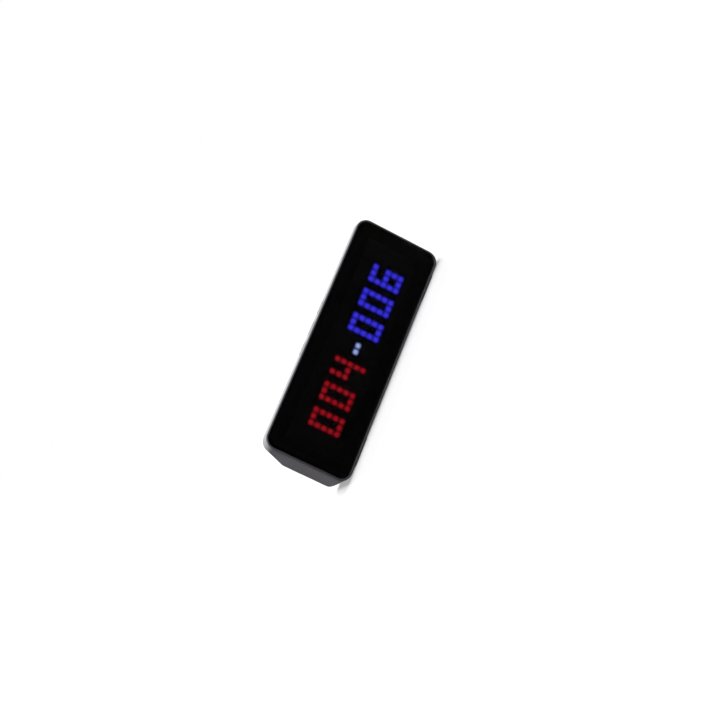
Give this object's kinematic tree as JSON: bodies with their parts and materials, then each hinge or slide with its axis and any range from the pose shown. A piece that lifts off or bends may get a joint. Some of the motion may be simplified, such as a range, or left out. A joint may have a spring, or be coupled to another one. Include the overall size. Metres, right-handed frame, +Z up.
{
  "type": "smart pixel clock",
  "caption": "Free-standing smart pixel clock with a smoked lens over a grid of coloured pixels, a silver-grey case with a slanted upper back, top keys and a rear charging inlet",
  "frame": {"origin": "On the table under the middle of the case, level with the bottom of the rubber feet", "axes": "X to the right as seen from the front, Y to the back, Z up"},
  "size_m": [0.2, 0.032, 0.0724],
  "materials": {
    "case_silver": "fine-grained silver-grey moulding",
    "smoked_lens": "smoked clear plastic with a smooth face",
    "black_foam": "thin adhesive foam",
    "film_smoked": "smoked diffuser film",
    "grid_black": "matt black moulding",
    "circuit_board": "green lacquered laminate",
    "lamp_white": "white lamp body with a clear window",
    "screw_steel": "zinc-plated steel",
    "socket_white": "off-white moulding",
    "ribbon_white": "flat film cable",
    "key_silver": "satin silver-grey moulding",
    "chip_black": "black moulded package",
    "shell_steel": "nickel-plated sheet",
    "cell_metal": "metal can, with a mean density near that of a lithium cell",
    "sleeve_blue": "shrunk film sleeve",
    "lead_red": "soft insulation",
    "lead_black": "soft insulation",
    "foot_rubber": "matt soft rubber"
  },
  "bodies": {
    "case": {"housing": "case_silver", "front_lens": "smoked_lens", "lens_tape": "black_foam", "diffuser_film": "film_smoked", "pixel_grid": "grid_black", "display_board": "circuit_board", "pixel_lamps": "lamp_white", "light_sensor": "chip_black", "display_screws": "screw_steel", "display_sockets": "socket_white", "display_ribbon": "ribbon_white", "key_switches": "chip_black", "key_board": "circuit_board", "key_board_screws": "screw_steel", "key_sockets": "socket_white", "key_ribbon": "ribbon_white", "rear_cover": "case_silver", "cover_screws": "screw_steel", "power_switch": "chip_black", "main_board": "circuit_board", "main_board_screws": "screw_steel", "usb_shell": "shell_steel", "usb_tongue": "chip_black", "radio_board": "circuit_board", "radio_shield": "shell_steel", "logic_chips": "chip_black", "power_coil": "chip_black", "buzzer": "chip_black", "climate_sensor": "chip_black", "battery_cells": "cell_metal", "battery_sleeve": "sleeve_blue", "battery_pads": "black_foam", "battery_lead_red": "lead_red", "battery_lead_black": "lead_black", "battery_plug": "socket_white", "battery_socket": "socket_white", "rubber_feet": "foot_rubber"},
    "left_button": {"key_left": "key_silver", "key_left_plunger": "chip_black"},
    "select_button": {"key_select": "key_silver", "key_select_plunger": "chip_black"},
    "right_button": {"key_right": "key_silver", "key_right_plunger": "chip_black"},
    "power_button": {"power_key": "key_silver", "power_plunger": "chip_black"}
  },
  "joints": [
    {"name": "left_press", "type": "slide", "parent": "case", "child": "left_button", "axis": [0, 0, -1], "range_m": [0, 0.0004], "stiffness_N_per_m": 1000, "springref_m": -0.0004},
    {"name": "select_press", "type": "slide", "parent": "case", "child": "select_button", "axis": [0, 0, -1], "range_m": [0, 0.0004], "stiffness_N_per_m": 1000, "springref_m": -0.0004},
    {"name": "right_press", "type": "slide", "parent": "case", "child": "right_button", "axis": [0, 0, -1], "range_m": [0, 0.0004], "stiffness_N_per_m": 1000, "springref_m": -0.0004},
    {"name": "power_press", "type": "slide", "parent": "case", "child": "power_button", "axis": [0, -1, 0], "range_m": [0, 0.0004], "stiffness_N_per_m": 1000, "springref_m": -0.0004}
  ]
}
